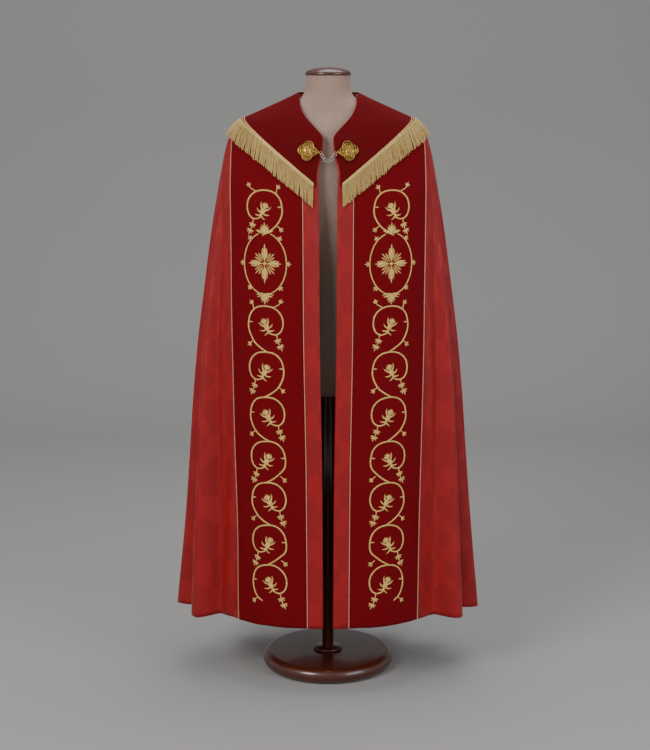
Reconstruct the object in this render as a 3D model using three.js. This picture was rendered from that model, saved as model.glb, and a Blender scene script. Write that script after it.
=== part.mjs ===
// A cope (a semicircular liturgical cloak) worn by a limbless dress form on a turned wooden base.
// Millimetres, +Z up. The origin is the centre of the base's underside. The open front faces -Y, and
// "left" is -X, the left of someone who looks at the front. Angles round the garment are in degrees
// from the front centre: 90 is the left side, 180 the centre back and 270 the right side.
import * as THREE from "three";

// ---------- driving dimensions ----------
const clothThickness = 2;
const seamGap = 0.3;
const hemHeight = 190;
const neckHeight = 1660;
const orphreyTop = 1645;
const orphreyWidth = 212;
const orphreyInset = 46; // from the front edge to the band
const orphreyThickness = 1.5;
const cordWidth = 3;
const cordHeight = 2;
const hoodGap = 4; // the hood lies over the orphreys and their cords
const fringeLength = 57;
const fringeThickness = 3.5;
const fringeGap = 3.6; // above the cope's face
const fringeDrop = 2; // below the hood's edge
const hoodShoulderHeight = 1584;
const hoodFrontCorner = { x: 39, z: 1414 };
const claspTop = 1541; // where the two fronts come closest, at the foot of the neck's V
const hoodBackTip = 1240;

// Rings of the cope's outer face: half width, and depth in front of and behind the form's axis.
const rings = [
  { z: 1660, side: 80, front: 36, back: 74 },
  { z: 1645, side: 111, front: 56, back: 81 },
  { z: 1620, side: 166, front: 74, back: 91 },
  { z: 1600, side: 211, front: 88, back: 99 },
  { z: 1584, side: 245, front: 98, back: 104 },
  { z: 1566, side: 263, front: 107, back: 109 },
  { z: 1543, side: 276, front: 118, back: 114 },
  { z: 1500, side: 289, front: 132, back: 122 },
  { z: 1451, side: 299, front: 143, back: 131 },
  { z: 1380, side: 312, front: 153, back: 143 },
  { z: 1283, side: 326, front: 163, back: 158 },
  { z: 1115, side: 345, front: 178, back: 180 },
  { z: 968, side: 361, front: 190, back: 199 },
  { z: 823, side: 373, front: 202, back: 216 },
  { z: 648, side: 384, front: 214, back: 235 },
  { z: 496, side: 394, front: 225, back: 250 },
  { z: 375, side: 403, front: 234, back: 261 },
  { z: 190, side: 418, front: 246, back: 276 },
];

// Half the opening between the two fronts: the V of the neck above the clasp, the gap below it.
const frontEdge = [
  { z: 1660, x: 78 },
  { z: 1645, x: 78 },
  { z: 1620, x: 73 },
  { z: 1600, x: 62 },
  { z: 1583, x: 47 },
  { z: 1565, x: 30 },
  { z: 1548, x: 16 },
  { z: 1540, x: 13.5 },
  { z: 1500, x: 16 },
  { z: 1480, x: 21 },
  { z: 1451, x: 26 },
  { z: 1380, x: 25 },
  { z: 1027, x: 23 },
  { z: 613, x: 16.5 },
  { z: 190, x: 13.5 },
];

// Ridge and valley lines of the folds, in order round the garment: the angle where the line starts
// (at height start) and at the hem, and how far it stands out (+) or in (-) at the hem.
const folds = [
  { start: 1400, top: 14, hem: 12, out: 0 },
  { start: 1400, top: 68, hem: 53, out: -44 },
  { start: 1400, top: 76, hem: 59, out: 30 },
  { start: 1380, top: 84, hem: 75, out: -40 },
  { start: 1380, top: 90, hem: 90, out: 24 },
  { start: 1300, top: 103, hem: 103, out: -34 },
  { start: 1250, top: 118, hem: 117, out: 26 },
  { start: 1230, top: 132, hem: 131, out: -44 },
  { start: 1200, top: 147, hem: 146, out: 22 },
  { start: 1190, top: 160, hem: 160, out: -30 },
  { start: 1160, top: 173, hem: 175, out: 30 },
  { start: 1160, top: 188, hem: 190, out: -46 },
  { start: 1190, top: 201, hem: 205, out: 20 },
  { start: 1220, top: 214, hem: 219, out: -32 },
  { start: 1230, top: 228, hem: 233, out: 28 },
  { start: 1260, top: 243, hem: 247, out: -38 },
  { start: 1300, top: 257, hem: 259, out: 22 },
  { start: 1350, top: 270, hem: 270, out: -16 },
  { start: 1380, top: 276, hem: 278, out: 24 },
  { start: 1380, top: 282, hem: 289, out: -34 },
  { start: 1400, top: 287, hem: 302, out: 30 },
  { start: 1400, top: 293, hem: 309, out: -40 },
  { start: 1400, top: 346, hem: 348, out: 0 },
];
const foldRoundness = 1.25; // above 1 the ridges are broad and the valleys narrow

// The form's torso: half width, and depth in front of and behind its axis.
const formRings = [
  { z: 1710.7, side: 62, front: 62, back: 62 },
  { z: 1674, side: 63, front: 62, back: 62 },
  { z: 1655, side: 72, front: 62, back: 64 },
  { z: 1640, side: 100, front: 63, back: 70 },
  { z: 1620, side: 150, front: 66, back: 79 },
  { z: 1600, side: 186, front: 73, back: 84 },
  { z: 1580, side: 214, front: 84, back: 90 },
  { z: 1550, side: 226, front: 96, back: 96 },
  { z: 1500, side: 221, front: 108, back: 102 },
  { z: 1440, side: 203, front: 116, back: 108 },
  { z: 1370, side: 184, front: 120, back: 110 },
  { z: 1280, side: 172, front: 114, back: 106 },
  { z: 1150, side: 152, front: 101, back: 96 },
  { z: 1050, side: 158, front: 103, back: 104 },
  { z: 950, side: 171, front: 109, back: 114 },
  { z: 870, side: 174, front: 108, back: 114 },
  { z: 836, side: 168, front: 102, back: 108 },
  { z: 820, side: 150, front: 88, back: 94 },
];

const base = { radius: 191, thickness: 44, steps: 40 };
const pole = { radius: 17, flange: 42, flangeHeight: 8, steps: 20 };
const cap = { radius: 64, edge: 5, height: 23, steps: 32 };
const plate = { lobe: 13.5, reach: 13, tip: 31, thickness: 2.4, standOff: 5, tilt: 8 };
const plateCentre = { x: 54, z: 1507 };
const link = { radius: 5.2, wire: 0.7, count: 7, turn: 45, slack: 0.6 };
const eye = { radius: 3.4, wire: 0.7 };

const colours = {
  damask: { color: 0xa02628, roughness: 0.55, metalness: 0 },
  velvet: { color: 0x6e0d14, roughness: 0.9, metalness: 0 },
  goldThread: { color: 0xc9a55e, roughness: 0.4, metalness: 0.7 },
  goldMetal: { color: 0xc8a94e, roughness: 0.3, metalness: 1 },
  steel: { color: 0xc9c9c9, roughness: 0.25, metalness: 1 },
  linen: { color: 0xa28a7a, roughness: 0.9, metalness: 0 },
  wood: { color: 0x4a1f0e, roughness: 0.3, metalness: 0 },
};

// ---------- interpolation ----------
const radians = (degrees) => (degrees * Math.PI) / 180;
const degrees = (angle) => (angle * 180) / Math.PI;
const lerp = THREE.MathUtils.lerp;
const clamp = THREE.MathUtils.clamp;

// A smooth value of one column of a table whose rows fall in z: cubic, with no overshoot.
function readTable(table, z, key) {
  const height = clamp(z, table[table.length - 1].z, table[0].z);
  const last = table.length - 2;
  const i = clamp(table.findIndex((row) => row.z <= height) - 1, 0, last);
  const step = (k) => table[k + 1].z - table[k].z;
  const slope = (k) => (table[k + 1][key] - table[k][key]) / step(k);
  const tangent = (k) => {
    if (k === 0) return slope(0);
    if (k === table.length - 1) return slope(k - 1);
    const before = slope(k - 1);
    const after = slope(k);
    return before * after <= 0 ? 0 : (2 * before * after) / (before + after);
  };
  const h = step(i);
  const t = (height - table[i].z) / h;
  const rise = table[i + 1][key] - table[i][key];
  const m0 = tangent(i) * h;
  const m1 = tangent(i + 1) * h;
  return table[i][key] + m0 * t + (3 * rise - 2 * m0 - m1) * t * t + (m0 + m1 - 2 * rise) * t ** 3;
}

// ---------- the cope's outer face ----------
// A fold line at height z: its angle, and how far it stands out.
function foldLine(fold, z) {
  const grown = clamp((fold.start - z) / (fold.start - hemHeight), 0, 1);
  return { at: lerp(fold.top, fold.hem, grown), out: fold.out * grown ** 0.85 };
}

function foldDepth(angle, z) {
  const lines = folds.map((fold) => foldLine(fold, z));
  const next = lines.findIndex((line) => line.at > angle);
  if (next <= 0) return 0;
  const [from, to] = [lines[next - 1], lines[next]];
  const share = (angle - from.at) / (to.at - from.at);
  const fromRidge = from.out > to.out ? share : 1 - share;
  const [ridge, valley] = from.out > to.out ? [from.out, to.out] : [to.out, from.out];
  return lerp(ridge, valley, Math.sin((Math.PI / 2) * fromRidge ** foldRoundness) ** 2);
}

// The point of the outer face at an angle (degrees from the front centre) and a height.
function clothPoint(angle, z) {
  const side = readTable(rings, z, "side");
  const turn = radians(angle);
  const depth = readTable(rings, z, Math.cos(turn) > 0 ? "front" : "back");
  const outward = new THREE.Vector2(-Math.sin(turn) / side, -Math.cos(turn) / depth).normalize();
  const out = foldDepth(angle, z);
  return new THREE.Vector3(
    -side * Math.sin(turn) + outward.x * out,
    -depth * Math.cos(turn) + outward.y * out,
    z,
  );
}

// The same point moved along the face's outward normal.
function clothOffset(angle, z, distance) {
  const reach = 0.6;
  const across = clothPoint(angle + reach, z).sub(clothPoint(angle - reach, z));
  const low = Math.max(z - 2, hemHeight);
  const high = Math.min(z + 2, neckHeight);
  const up = clothPoint(angle, high).sub(clothPoint(angle, low));
  const normal = up.cross(across).normalize();
  return clothPoint(angle, z).addScaledVector(normal, distance);
}

// The angle at which the left half of the face reaches a distance x from the middle.
function angleAtX(x, z) {
  return degrees(Math.asin(clamp(x / readTable(rings, z, "side"), 0, 1)));
}

// The angle reached after walking a length along the ring at height z, from an angle of one half.
function angleAfter(start, length, z, half) {
  const step = 0.25;
  const at = (angle) => clothPoint(half === "left" ? angle : 360 - angle, z);
  let angle = start;
  let walked = 0;
  let here = at(angle);
  while (angle < 90) {
    const there = at(angle + step);
    const stride = there.distanceTo(here);
    if (walked + stride >= length) return angle + (step * (length - walked)) / stride;
    walked += stride;
    angle += step;
    here = there;
  }
  return 90;
}

// Where the orphrey and the edge lie on one half at height z, as angles from the front centre.
function frontMarks(z, half) {
  const edge = angleAtX(readTable(frontEdge, z, "x"), z);
  const line = z > 1451 ? angleAtX(26, z) : edge;
  const neckMargin = 4;
  const seamMargin = 5;
  const inner = Math.max(angleAfter(line, orphreyInset, z, half), edge + neckMargin);
  const outer = angleAfter(line, orphreyInset + orphreyWidth, z, half);
  return { edge, inner, outer: Math.min(outer, 90 - seamMargin) };
}

// ---------- solids ----------
// A closed wall between two grids of points of one size; grid[row][column].
function wall(outer, inner) {
  const rows = outer.length;
  const columns = outer[0].length;
  const points = [...outer.flat(), ...inner.flat()];
  const at = (layer, r, c) => layer * rows * columns + r * columns + c;
  const faces = [];
  const quad = (a, b, c, d) => faces.push(a, c, b, a, d, c);
  for (let r = 0; r < rows - 1; r++)
    for (let c = 0; c < columns - 1; c++) {
      quad(at(0, r, c), at(0, r + 1, c), at(0, r + 1, c + 1), at(0, r, c + 1));
      quad(at(1, r, c), at(1, r, c + 1), at(1, r + 1, c + 1), at(1, r + 1, c));
    }
  for (let c = 0; c < columns - 1; c++) {
    quad(at(0, 0, c), at(0, 0, c + 1), at(1, 0, c + 1), at(1, 0, c));
    quad(at(0, rows - 1, c + 1), at(0, rows - 1, c), at(1, rows - 1, c), at(1, rows - 1, c + 1));
  }
  for (let r = 0; r < rows - 1; r++) {
    quad(at(0, r + 1, 0), at(0, r, 0), at(1, r, 0), at(1, r + 1, 0));
    const last = columns - 1;
    quad(at(0, r, last), at(0, r + 1, last), at(1, r + 1, last), at(1, r, last));
  }
  const geometry = new THREE.BufferGeometry().setFromPoints(points);
  return geometry.setIndex(faces);
}

// A wall over spots of the face: grid[row][column] = { angle, z }, with angles that rise along a row.
function clothWall(spots, from, to) {
  const layer = (distance) =>
    spots.map((row) => row.map((spot) => clothOffset(spot.angle, spot.z, distance)));
  return wall(layer(to), layer(from));
}

// The spots of the left half as those of the right half, so that angles still rise along a row.
function mirrored(spots) {
  return spots.map((row) => row.map((spot) => ({ angle: 360 - spot.angle, z: spot.z })).reverse());
}

const group = new THREE.Group();
function piece(name, geometry, colour) {
  const mesh = new THREE.Mesh(geometry, new THREE.MeshStandardMaterial(colours[colour]));
  mesh.name = name;
  return mesh;
}
function add(name, geometry, colour) {
  const mesh = piece(name, geometry, colour);
  group.add(mesh);
  return mesh;
}

const halves = ["left", "right"];
const onHalf = (half, spots) => (half === "left" ? spots : mirrored(spots));
const evenly = (count) => Array.from({ length: count + 1 }, (_, i) => i / count);
const rowHeights = rings.map((ring) => ring.z).filter((z) => z !== 375 && z !== 1451);

// The angle that takes the seam's gap off a panel at its side seam.
function seamAngle(z) {
  const turned = clothPoint(91, z).distanceTo(clothPoint(90, z));
  return seamGap / 2 / turned;
}

// ---------- the front panels, the orphreys and their cords ----------
// Shares between the fold lines where the faceted cloth has a column.
const foldShares = [0.5, 1];

// Angles of the front panel's columns on one half at height z, from the edge to the side seam.
function frontColumns(z, half) {
  const { edge, inner, outer } = frontMarks(z, half);
  const band = evenly(5).map((share) => lerp(inner, outer, share));
  const seam = 90 - seamAngle(z);
  const onThisHalf = (angle) => (half === "left" ? angle : 360 - angle);
  const lines = folds
    .filter((fold) => onThisHalf(fold.hem) < 89 && onThisHalf(fold.hem) > 13)
    .map((fold) => onThisHalf(foldLine(fold, z).at))
    .sort((a, b) => a - b);
  const columns = [edge, lerp(edge, inner, 0.5), ...band];
  const stops = lines.map((angle, i) => Math.min(angle, seam - (lines.length - i) * 1.5));
  let from = outer;
  [...stops, seam].forEach((stop, i) => {
    const latest = seam - (lines.length - i) * 1;
    const to = clamp(stop, Math.min(from + 0.5, latest), latest);
    foldShares.forEach((share) => columns.push(lerp(from, to, share)));
    from = to;
  });
  return columns;
}

for (const half of halves) {
  const panel = rowHeights.map((z) => frontColumns(z, half).map((angle) => ({ angle, z })));
  add(`front_${half}`, clothWall(onHalf(half, panel), -clothThickness, 0), "damask");

  const bandRows = panel.filter((row) => row[0].z <= orphreyTop);
  const bandSpots = bandRows.map((row) => row.slice(2, 8));
  const bandWall = clothWall(onHalf(half, bandSpots), seamGap, seamGap + orphreyThickness);
  add(`orphrey_${half}`, bandWall, "velvet");

  // A cord runs along each long edge of the band, beside it on the panel.
  const cordSpots = (row, column, sign) => {
    const spot = row[column];
    const perDegree = clothPoint(spot.angle + 0.5, spot.z).distanceTo(
      clothPoint(spot.angle - 0.5, spot.z),
    );
    const near = spot.angle + (sign * seamGap) / perDegree;
    const far = spot.angle + (sign * (seamGap + cordWidth)) / perDegree;
    return [Math.min(near, far), Math.max(near, far)].map((angle) => ({ angle, z: spot.z }));
  };
  for (const [edgeName, column, sign] of [
    ["inner", 2, -1],
    ["outer", 7, 1],
  ]) {
    const spots = bandRows.map((row) => cordSpots(row, column, sign));
    const cordWall = clothWall(onHalf(half, spots), seamGap, seamGap + cordHeight);
    add(`cord_${half}_${edgeName}`, cordWall, "goldThread");
  }
}

// ---------- the back panel ----------
function backColumns(z) {
  const seam = seamAngle(z);
  const lines = folds.map((fold) => foldLine(fold, z).at).filter((angle) => angle > 94 && angle < 266);
  const stops = [90 + seam, ...lines, 270 - seam];
  const columns = [stops[0]];
  stops.slice(1).forEach((stop, i) => {
    foldShares.forEach((share) => columns.push(lerp(stops[i], stop, share)));
  });
  return columns;
}
const backLineCount = backColumns(rowHeights[rowHeights.length - 1]).length;
const backShares = evenly(backLineCount - 1);
const backPanel = rowHeights.map((z) => {
  const columns = backColumns(z);
  const even = backShares.map((share) => lerp(columns[0], columns[columns.length - 1], share));
  const chosen = columns.length === backLineCount ? columns : even;
  return chosen.map((angle) => ({ angle, z }));
});
add("back", clothWall(backPanel, -clothThickness, 0), "damask");

// ---------- the hood over the shoulders, and its fringe ----------
// Where the hood ends at height z, as an angle on the left half. Above the shoulder that is the
// seam. In front the edge slants straight to the corner, and behind it curves to the rounded tip.
function hoodFrontEnd(z) {
  if (z >= hoodShoulderHeight) return 90;
  const share = (hoodShoulderHeight - z) / (hoodShoulderHeight - hoodFrontCorner.z);
  const x = lerp(readTable(rings, hoodShoulderHeight, "side"), hoodFrontCorner.x, share);
  return angleAtX(x, z);
}
function hoodBackEnd(z) {
  if (z >= hoodShoulderHeight) return 90;
  const share = (z - hoodBackTip) / (hoodShoulderHeight - hoodBackTip);
  const x = readTable(rings, hoodShoulderHeight, "side") * Math.max(share ** 0.8, 0.05);
  return 180 - angleAtX(x, z);
}
function hoodNeckEnd(z) {
  const below = clamp((claspTop - z) / (claspTop - hoodFrontCorner.z), 0, 1);
  return angleAtX(readTable(frontEdge, z, "x") + lerp(1.5, 9, below), z);
}

// The height where an end of the hood lies at an angle off the centre line.
function heightOfEnd(endAt, angle, lowest) {
  let [low, high] = [lowest, hoodShoulderHeight];
  for (let i = 0; i < 30; i++) {
    const z = (low + high) / 2;
    if (endAt(z) < angle) low = z;
    else high = z;
  }
  return high;
}
const yokeRows = [1660, 1645, 1632, 1620, 1610, 1600, 1592, 1584];
const edgeAngles = [86, 82, 78, 73, 67, 60, 52, 44, 36, 28, 20, 13];
const hoodFrontRows = [
  ...yokeRows,
  ...edgeAngles.map((angle) => heightOfEnd(hoodFrontEnd, angle, hoodFrontCorner.z)),
  hoodFrontCorner.z,
];
const offBack = (z) => 180 - hoodBackEnd(z);
const hoodBackRows = [
  ...yokeRows,
  ...edgeAngles.map((angle) => heightOfEnd(offBack, angle, hoodBackTip)),
  hoodBackTip,
];

const hoodFront = hoodFrontRows.map((z) => {
  const [from, to] = [hoodNeckEnd(z), hoodFrontEnd(z)];
  const end = z >= hoodShoulderHeight ? to - seamAngle(z) : to;
  return evenly(9).map((share) => ({ angle: lerp(from, end, share), z }));
});
const hoodBack = hoodBackRows.map((z) => {
  const from = hoodBackEnd(z) + (z >= hoodShoulderHeight ? seamAngle(z) : 0);
  return evenly(16).map((share) => ({ angle: lerp(from, 360 - from, share), z }));
});
const hoodTo = hoodGap + clothThickness;
for (const half of halves)
  add(`hood_front_${half}`, clothWall(onHalf(half, hoodFront), hoodGap, hoodTo), "velvet");
add("hood_back", clothWall(hoodBack, hoodGap, hoodTo), "velvet");

// The height reached by walking a length straight down the face from a spot.
function walkDown(spot, length) {
  const step = 2;
  let z = spot.z;
  let walked = 0;
  while (walked < length) {
    walked += clothPoint(spot.angle, z - step).distanceTo(clothPoint(spot.angle, z));
    z -= step;
  }
  return z;
}

// The hood's lower edge, from one front corner round the back to the other, all in one run.
const lowRows = (rows) => rows.filter((z) => z <= hoodShoulderHeight);
const leftEdge = [
  ...lowRows(hoodFrontRows).reverse().map((z) => ({ angle: hoodFrontEnd(z), z })),
  ...lowRows(hoodBackRows).slice(1).map((z) => ({ angle: hoodBackEnd(z), z })),
];
const hoodEdge = [...leftEdge, ...mirrored([leftEdge])[0]];
const fringeSpots = evenly(3).map((down) =>
  hoodEdge.map((spot) => ({
    angle: spot.angle,
    z: walkDown(spot, lerp(fringeDrop, fringeLength, down)),
  })),
);
const fringeWall = clothWall(fringeSpots, fringeGap, fringeGap + fringeThickness);
add("fringe", fringeWall, "goldThread");

// ---------- the clasp: two quatrefoil plates, their eyes, and a short chain ----------
// The plate's outline: three round lobes that meet in notches, and a pointed tip towards the opening
// (+X here).
function plateShape() {
  const shape = new THREE.Shape();
  const arc = 135 - degrees(Math.acos(plate.reach * Math.SQRT1_2 / plate.lobe));
  [90, 180, 270].forEach((towards) => {
    const x = plate.reach * Math.cos(radians(towards));
    const y = plate.reach * Math.sin(radians(towards));
    shape.absarc(x, y, plate.lobe, radians(towards - arc), radians(towards + arc), false);
  });
  const first = shape.getPoint(0);
  const bend = { x: lerp(first.x, plate.tip, 0.5), y: first.y * 0.62 };
  shape.quadraticCurveTo(bend.x, -bend.y, plate.tip, 0);
  shape.quadraticCurveTo(bend.x, bend.y, first.x, first.y);
  return shape;
}

function ring(radius, wire) {
  return new THREE.TorusGeometry(radius, wire, 5, 14);
}

// Each flat plate stands off the hood, square to the face at its centre, its tip turned inwards and
// a little down. The eye for the chain lies just past the tip.
const eyes = {};
for (const half of halves) {
  const inward = half === "left" ? 1 : -1;
  const centreAngle = angleAtX(plateCentre.x, plateCentre.z);
  const angle = half === "left" ? centreAngle : 360 - centreAngle;
  const centre = clothOffset(angle, plateCentre.z, hoodTo + plate.standOff);
  const outward = centre.clone().sub(clothOffset(angle, plateCentre.z, 0)).normalize();
  const across = new THREE.Vector3(0, 0, inward).cross(outward).normalize();
  const mount = new THREE.Group();
  mount.quaternion.setFromRotationMatrix(
    new THREE.Matrix4().makeBasis(across, outward.clone().cross(across), outward),
  );
  mount.rotateZ(-inward * radians(plate.tilt));
  mount.position.copy(centre);
  const plateBody = new THREE.ExtrudeGeometry(plateShape(), {
    depth: plate.thickness,
    bevelEnabled: false,
    curveSegments: 8,
  });
  mount.add(piece(`clasp_plate_${half}`, plateBody, "goldMetal"));
  group.add(mount);
  mount.updateMatrixWorld(true);
  const beyondTip = plate.tip + eye.radius + eye.wire + seamGap;
  eyes[half] = mount.localToWorld(new THREE.Vector3(beyondTip, 0, plate.thickness / 2));
  const eyeRing = add(`clasp_eye_${half}`, ring(eye.radius, eye.wire), "goldMetal");
  eyeRing.rotation.x = Math.PI / 2;
  eyeRing.position.copy(eyes[half]);
}

// The chain hangs from eye to eye, its links one pitch apart and each a quarter turn from the last.
const pitch = 2 * link.radius - 2 * link.wire - link.slack;
const endReach = link.radius + eye.radius - 2 * link.wire - link.slack;
const chainLength = endReach * 2 + pitch * (link.count - 1);
const middle = eyes.left.clone().add(eyes.right).multiplyScalar(0.5);
const halfSpan = eyes.left.distanceTo(eyes.right) / 2;

function hangingCurve(sag) {
  const points = evenly(16).map((share) => {
    const x = lerp(-halfSpan, halfSpan, share);
    return new THREE.Vector3(x, 0, sag * ((x / halfSpan) ** 2 - 1)).add(middle);
  });
  return new THREE.CatmullRomCurve3(points);
}
let [shallow, deep] = [1, 80];
for (let i = 0; i < 30; i++) {
  const sag = (shallow + deep) / 2;
  if (hangingCurve(sag).getLength() < chainLength) shallow = sag;
  else deep = sag;
}
const chain = hangingCurve(deep);
const facing = new THREE.Vector3(0, -1, 0);
for (let i = 0; i < link.count; i++) {
  const share = (endReach + i * pitch) / chainLength;
  const along = chain.getTangentAt(share);
  const turn = radians(i % 2 ? link.turn : link.turn - 90);
  const normal = facing.clone().applyAxisAngle(along, turn);
  const mesh = add(`chain_link_${i + 1}`, ring(link.radius, link.wire), "steel");
  mesh.position.copy(chain.getPointAt(share));
  mesh.quaternion.setFromRotationMatrix(
    new THREE.Matrix4().makeBasis(along, normal.clone().cross(along), normal),
  );
}

// ---------- the dress form ----------
function formBody() {
  const steps = 28;
  const points = formRings.flatMap((row) =>
    evenly(steps)
      .slice(1)
      .map((share) => {
        const turn = 2 * Math.PI * share;
        const depth = Math.cos(turn) > 0 ? row.front : row.back;
        return new THREE.Vector3(-row.side * Math.sin(turn), -depth * Math.cos(turn), row.z);
      }),
  );
  const faces = [];
  for (let r = 0; r < formRings.length - 1; r++)
    for (let c = 0; c < steps; c++) {
      const next = (c + 1) % steps;
      const [a, b] = [r * steps + c, r * steps + next];
      faces.push(a, b + steps, a + steps, a, b, b + steps);
    }
  const top = points.push(new THREE.Vector3(0, 0, formRings[0].z)) - 1;
  const bottom = points.push(new THREE.Vector3(0, 0, formRings.at(-1).z)) - 1;
  const lastRing = (formRings.length - 1) * steps;
  for (let c = 0; c < steps; c++) {
    const next = (c + 1) % steps;
    faces.push(top, next, c, bottom, lastRing + c, lastRing + next);
  }
  return new THREE.BufferGeometry().setFromPoints(points).setIndex(faces);
}
add("form_torso", formBody(), "linen");

// A turned piece from its profile of (radius, height) pairs; the lathe's axis is stood up along Z.
function turned(profile, steps) {
  const points = profile.map(([radius, height]) => new THREE.Vector2(radius, height));
  return new THREE.LatheGeometry(points, steps).rotateX(Math.PI / 2);
}
const arcPoints = (centre, radius, from, to, count) =>
  evenly(count).map((share) => {
    const turn = radians(lerp(from, to, share));
    return [centre[0] + radius * Math.cos(turn), centre[1] + radius * Math.sin(turn)];
  });

const bull = base.thickness / 2;
const baseProfile = [
  [0, 0],
  ...arcPoints([base.radius - bull, bull], bull, -90, 90, 8),
  [0, base.thickness],
];
add("form_base", turned(baseProfile, base.steps), "wood");

const poleFoot = base.thickness + seamGap;
const poleHead = formRings.at(-1).z - seamGap;
const poleProfile = [
  [0, poleFoot],
  [pole.flange, poleFoot],
  [pole.flange, poleFoot + pole.flangeHeight],
  [pole.radius, poleFoot + pole.flangeHeight],
  [pole.radius, poleHead - pole.flangeHeight],
  [pole.flange, poleHead - pole.flangeHeight],
  [pole.flange, poleHead],
  [0, poleHead],
];
add("form_pole", turned(poleProfile, pole.steps), "wood");

const capFoot = formRings[0].z + seamGap;
const dome = evenly(6).map((share) => {
  const turn = radians(90 * share);
  return [cap.radius * Math.cos(turn), capFoot + cap.edge + (cap.height - cap.edge) * Math.sin(turn)];
});
dome[dome.length - 1][0] = 0;
add("form_cap", turned([[0, capFoot], [cap.radius - 1.5, capFoot], [cap.radius, capFoot + 1.5], ...dome], cap.steps), "wood");

export default group;
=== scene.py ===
import math
import bpy
import numpy as np
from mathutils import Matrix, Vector


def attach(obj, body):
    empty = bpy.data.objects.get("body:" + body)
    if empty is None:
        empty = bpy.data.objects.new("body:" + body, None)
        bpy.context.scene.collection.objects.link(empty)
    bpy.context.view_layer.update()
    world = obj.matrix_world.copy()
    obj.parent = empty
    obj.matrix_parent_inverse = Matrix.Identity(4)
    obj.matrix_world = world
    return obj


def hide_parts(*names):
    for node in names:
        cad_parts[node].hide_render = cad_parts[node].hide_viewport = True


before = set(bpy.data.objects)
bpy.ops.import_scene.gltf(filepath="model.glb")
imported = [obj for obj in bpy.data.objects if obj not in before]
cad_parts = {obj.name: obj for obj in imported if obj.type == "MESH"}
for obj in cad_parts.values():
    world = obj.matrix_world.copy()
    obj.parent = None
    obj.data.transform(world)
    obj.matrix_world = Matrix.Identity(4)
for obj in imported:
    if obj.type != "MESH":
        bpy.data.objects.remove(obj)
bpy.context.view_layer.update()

# The cope hangs on its form. Lengths are metres, angles are degrees from the front centre,
# 90 is the left side (-X), 180 the centre back and 270 the right side.
cope = {
    "wall": 0.002,
    "hemZ": 0.190,
    "neckZ": 1.660,
    "columns": 330,
    "rows": 130,
    "yokeRows": 34,  # rows above the yoke's lower end
    "yokeEnd": 1.52,
    "creaseDepth": 0.0016,
    "seed": 4,
}
orphrey = {"width": 0.212, "inset": 0.046, "topZ": 1.645, "lift": 0.0003, "thickness": 0.0015}
hood = {"gap": 0.004, "wall": 0.002, "shoulderZ": 1.584, "cornerX": 0.039, "cornerZ": 1.414,
        "claspTopZ": 1.541, "tipZ": 1.240, "inset": (0.0015, 0.009)}

# outer face of the cope: z, half width, depth before and behind the form's axis
rings = np.array([
    (1.660, 0.080, 0.036, 0.074), (1.645, 0.111, 0.056, 0.081), (1.620, 0.166, 0.074, 0.091),
    (1.600, 0.211, 0.088, 0.099), (1.584, 0.245, 0.098, 0.104), (1.566, 0.263, 0.107, 0.109),
    (1.543, 0.276, 0.118, 0.114), (1.500, 0.289, 0.132, 0.122), (1.451, 0.299, 0.143, 0.131),
    (1.380, 0.312, 0.153, 0.143), (1.283, 0.326, 0.163, 0.158), (1.115, 0.345, 0.178, 0.180),
    (0.968, 0.361, 0.190, 0.199), (0.823, 0.373, 0.202, 0.216), (0.648, 0.384, 0.214, 0.235),
    (0.496, 0.394, 0.225, 0.250), (0.375, 0.403, 0.234, 0.261), (0.190, 0.418, 0.246, 0.276),
])
# half the opening between the two fronts: z, x
frontEdge = np.array([
    (1.660, 0.078), (1.645, 0.078), (1.620, 0.073), (1.600, 0.062), (1.583, 0.047),
    (1.565, 0.030), (1.548, 0.016), (1.540, 0.0135), (1.500, 0.016), (1.480, 0.021),
    (1.451, 0.026), (1.380, 0.025), (1.027, 0.023), (0.613, 0.0165), (0.190, 0.0135),
])
# fold lines: height where it starts, angle there, angle at the hem, how far it stands out there
folds = np.array([
    (1.400, 14, 12, 0), (1.400, 68, 53, -0.044), (1.400, 76, 59, 0.030), (1.380, 84, 75, -0.040),
    (1.380, 90, 90, 0.024), (1.300, 103, 103, -0.034), (1.250, 118, 117, 0.026),
    (1.230, 132, 131, -0.044), (1.200, 147, 146, 0.022), (1.190, 160, 160, -0.030),
    (1.160, 173, 175, 0.030), (1.160, 188, 190, -0.046), (1.190, 201, 205, 0.020),
    (1.220, 214, 219, -0.032), (1.230, 228, 233, 0.028), (1.260, 243, 247, -0.038),
    (1.300, 257, 259, 0.022), (1.350, 270, 270, -0.016), (1.380, 276, 278, 0.024),
    (1.380, 282, 289, -0.034), (1.400, 287, 302, 0.030), (1.400, 293, 309, -0.040),
    (1.400, 346, 348, 0),
])


def readTable(table, z, column):
    # a column's value at height z, on a smooth curve through the table's rows
    zs = table[::-1, 0]
    vs = table[::-1, column]
    step = np.diff(zs)
    slope = np.diff(vs) / step
    before, after = slope[:-1], slope[1:]
    same = before * after > 0
    inner = np.where(same, 2 * before * after / np.where(same, before + after, 1), 0)
    tangent = np.concatenate([[slope[0]], inner, [slope[-1]]])
    z = np.clip(np.asarray(z, float), zs[0], zs[-1])
    i = np.clip(np.searchsorted(zs, z, side="right") - 1, 0, len(zs) - 2)
    h = step[i]
    t = (z - zs[i]) / h
    rise = vs[i + 1] - vs[i]
    m0, m1 = tangent[i] * h, tangent[i + 1] * h
    return vs[i] + m0 * t + (3 * rise - 2 * m0 - m1) * t ** 2 + (m0 + m1 - 2 * rise) * t ** 3


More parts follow.
